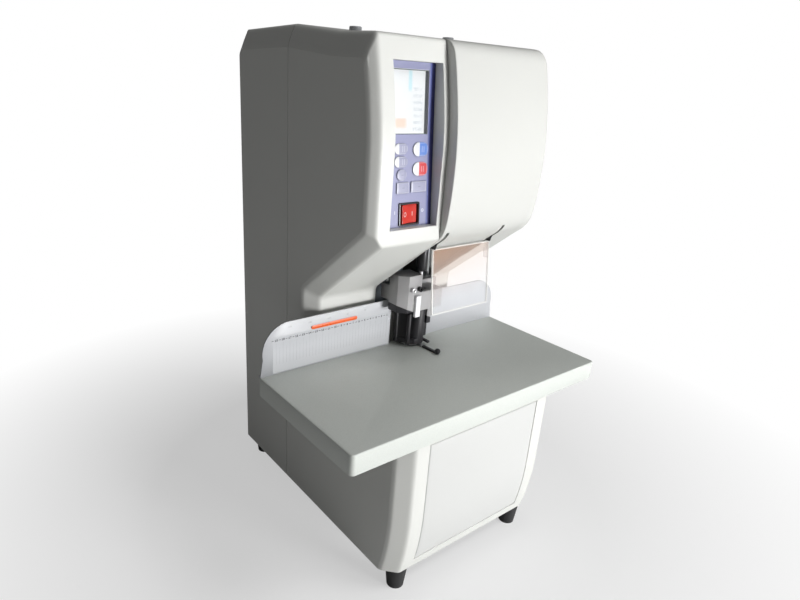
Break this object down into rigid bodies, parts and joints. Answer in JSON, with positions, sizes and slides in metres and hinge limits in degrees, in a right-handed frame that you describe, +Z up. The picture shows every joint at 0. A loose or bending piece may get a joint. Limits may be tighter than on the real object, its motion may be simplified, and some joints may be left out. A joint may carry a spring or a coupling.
{
  "type": "document riveting machine",
  "caption": "Desk machine that drills a stack of paper and closes a tube rivet in it, with a worktable, back gauge, clear guard, control panel and chip drawer.",
  "frame": {"origin": "centre of the footprint, on the desk under the feet", "axes": "+X to the operator's right, -Y towards the operator, +Z up"},
  "size_m": [0.43, 0.422, 0.672],
  "materials": {
    "casing_white": "satin",
    "table_grey": "fine texture",
    "gauge_white": "satin",
    "marker_orange": "gloss",
    "zinc_steel": "zinc plated",
    "bright_steel": "ground",
    "chrome_rod": "polished",
    "blackened_steel": "blackened",
    "heater_steel": "heat tinted",
    "carriage_grey": "satin",
    "frame_casting": "primed",
    "anodised_aluminium": "anodised",
    "die_brass": "turned",
    "pad_nylon": "matt",
    "rubber_black": "matt",
    "black_plastic": "gloss",
    "grey_plastic": "satin",
    "motor_black": "satin",
    "panel_blue": "satin film",
    "clear_window": "polished",
    "display": "lit",
    "board_green": "lacquered",
    "rocker_red": "translucent gloss",
    "clear_acrylic": "polished",
    "key_grey": "gloss",
    "key_blue": "gloss",
    "key_red": "gloss"
  },
  "bodies": {
    "machine": {"front_shell": "casing_white", "rear_cover": "casing_white", "right_head_cover": "casing_white", "base_plate": "zinc_steel", "rubber_feet": "rubber_black", "work_table": "table_grey", "table_supports": "zinc_steel", "left_gauge_plate": "gauge_white", "right_gauge_plate": "gauge_white", "gauge_marker": "marker_orange", "tube_inlet": "grey_plastic", "lift_plug": "grey_plastic", "rear_cover_screws": "zinc_steel", "power_inlet": "black_plastic", "power_supply": "anodised_aluminium", "drawer_runners": "zinc_steel", "control_panel": "panel_blue", "lcd_window": "clear_window", "lcd_module": "display", "control_board": "board_green", "switch_bezel": "black_plastic", "guard_pin": "bright_steel", "c_frame": "frame_casting", "anvil_post": "bright_steel", "die_heater": "heater_steel", "press_actuator": "anodised_aluminium", "slide_rail": "bright_steel", "feed_motor": "motor_black"},
    "guard": {"guard_panel": "clear_acrylic", "guard_arms": "clear_acrylic"},
    "drawer": {"drawer_front": "casing_white", "chip_tray": "zinc_steel"},
    "press": {"press_foot": "blackened_steel", "press_carriage": "carriage_grey", "heater_ring": "die_brass", "press_rods": "chrome_rod", "clamp_screws": "blackened_steel"},
    "drill_feed": {"feed_carriage": "anodised_aluminium", "spindle_bearings": "bright_steel", "motor_plate": "zinc_steel", "drill_motor": "motor_black", "drive_belt": "rubber_black"},
    "drill_spindle": {"spindle": "bright_steel", "spindle_pulley": "anodised_aluminium", "drill_chuck": "blackened_steel", "hollow_drill": "bright_steel"},
    "motor_rotor": {"motor_pulley": "anodised_aluminium"},
    "screw": {"feed_screw": "bright_steel"},
    "die_table": {"turntable": "bright_steel", "cutting_pad": "pad_nylon", "rivet_die": "die_brass"},
    "rocker": {"rocker_switch": "rocker_red"},
    "button_up": {"key_up": "key_grey"},
    "button_down": {"key_down": "key_grey"},
    "button_back": {"key_back": "key_grey"},
    "button_start": {"key_start": "key_blue"},
    "button_stop": {"key_stop": "key_red"},
    "button_set": {"key_set": "key_grey"},
    "button_count": {"key_count": "key_grey"}
  },
  "joints": [
    {"name": "guard_hinge", "type": "hinge", "parent": "machine", "child": "guard", "pos_m": [0.029, -0.11, 0.449], "axis": [-1, 0, 0], "range_deg": [0, 60]},
    {"name": "drawer_slide", "type": "slide", "parent": "machine", "child": "drawer", "axis": [0, -1, 0], "range_m": [0, 0.1]},
    {"name": "press_slide", "type": "slide", "parent": "machine", "child": "press", "axis": [0, 0, 1], "range_m": [0, 0.045]},
    {"name": "drill_feed_slide", "type": "slide", "parent": "machine", "child": "drill_feed", "axis": [0, 0, -1], "range_m": [0, 0.046]},
    {"name": "feed_screw_turn", "type": "hinge", "parent": "machine", "child": "screw", "pos_m": [0.05, -0.002, 0.5], "axis": [0, 0, 1], "range_deg": [0, 663]},
    {"name": "spindle_spin", "type": "hinge", "parent": "drill_feed", "child": "drill_spindle", "pos_m": [0.03, -0.03, 0.45], "axis": [0, 0, 1], "continuous": true},
    {"name": "motor_spin", "type": "hinge", "parent": "drill_feed", "child": "motor_rotor", "pos_m": [0.03, -0.078, 0.53], "axis": [0, 0, 1], "continuous": true},
    {"name": "turntable_swing", "type": "hinge", "parent": "machine", "child": "die_table", "pos_m": [0.03, -0.018, 0.2545], "axis": [0, 0, 1], "range_deg": [0, 60]},
    {"name": "rocker_tilt", "type": "hinge", "parent": "machine", "child": "rocker", "pos_m": [-0.0716, -0.10573, 0.4708], "axis": [0, -0.0785, -0.9969], "range_deg": [0, 20]},
    {"name": "key_up_push", "type": "slide", "parent": "machine", "child": "button_up", "axis": [0, 0.9969, -0.0785], "range_m": [0, 0.0008], "stiffness_N_per_m": 600, "springref_m": -0.0004},
    {"name": "key_down_push", "type": "slide", "parent": "machine", "child": "button_down", "axis": [0, 0.9969, -0.0785], "range_m": [0, 0.0008], "stiffness_N_per_m": 600, "springref_m": -0.0004},
    {"name": "key_back_push", "type": "slide", "parent": "machine", "child": "button_back", "axis": [0, 0.9969, -0.0785], "range_m": [0, 0.0008], "stiffness_N_per_m": 600, "springref_m": -0.0004},
    {"name": "key_start_push", "type": "slide", "parent": "machine", "child": "button_start", "axis": [0, 0.9969, -0.0785], "range_m": [0, 0.0008], "stiffness_N_per_m": 600, "springref_m": -0.0004},
    {"name": "key_stop_push", "type": "slide", "parent": "machine", "child": "button_stop", "axis": [0, 0.9969, -0.0785], "range_m": [0, 0.0008], "stiffness_N_per_m": 600, "springref_m": -0.0004},
    {"name": "key_set_push", "type": "slide", "parent": "machine", "child": "button_set", "axis": [0, 0.9969, -0.0785], "range_m": [0, 0.0008], "stiffness_N_per_m": 600, "springref_m": -0.0004},
    {"name": "key_count_push", "type": "slide", "parent": "machine", "child": "button_count", "axis": [0, 0.9969, -0.0785], "range_m": [0, 0.0008], "stiffness_N_per_m": 600, "springref_m": -0.0004}
  ],
  "couplings": [
    {"joint": "feed_screw_turn", "follows": "drill_feed_slide", "rad_per_m": 251.33},
    {"joint": "motor_spin", "follows": "spindle_spin", "ratio": 1.5714}
  ]
}
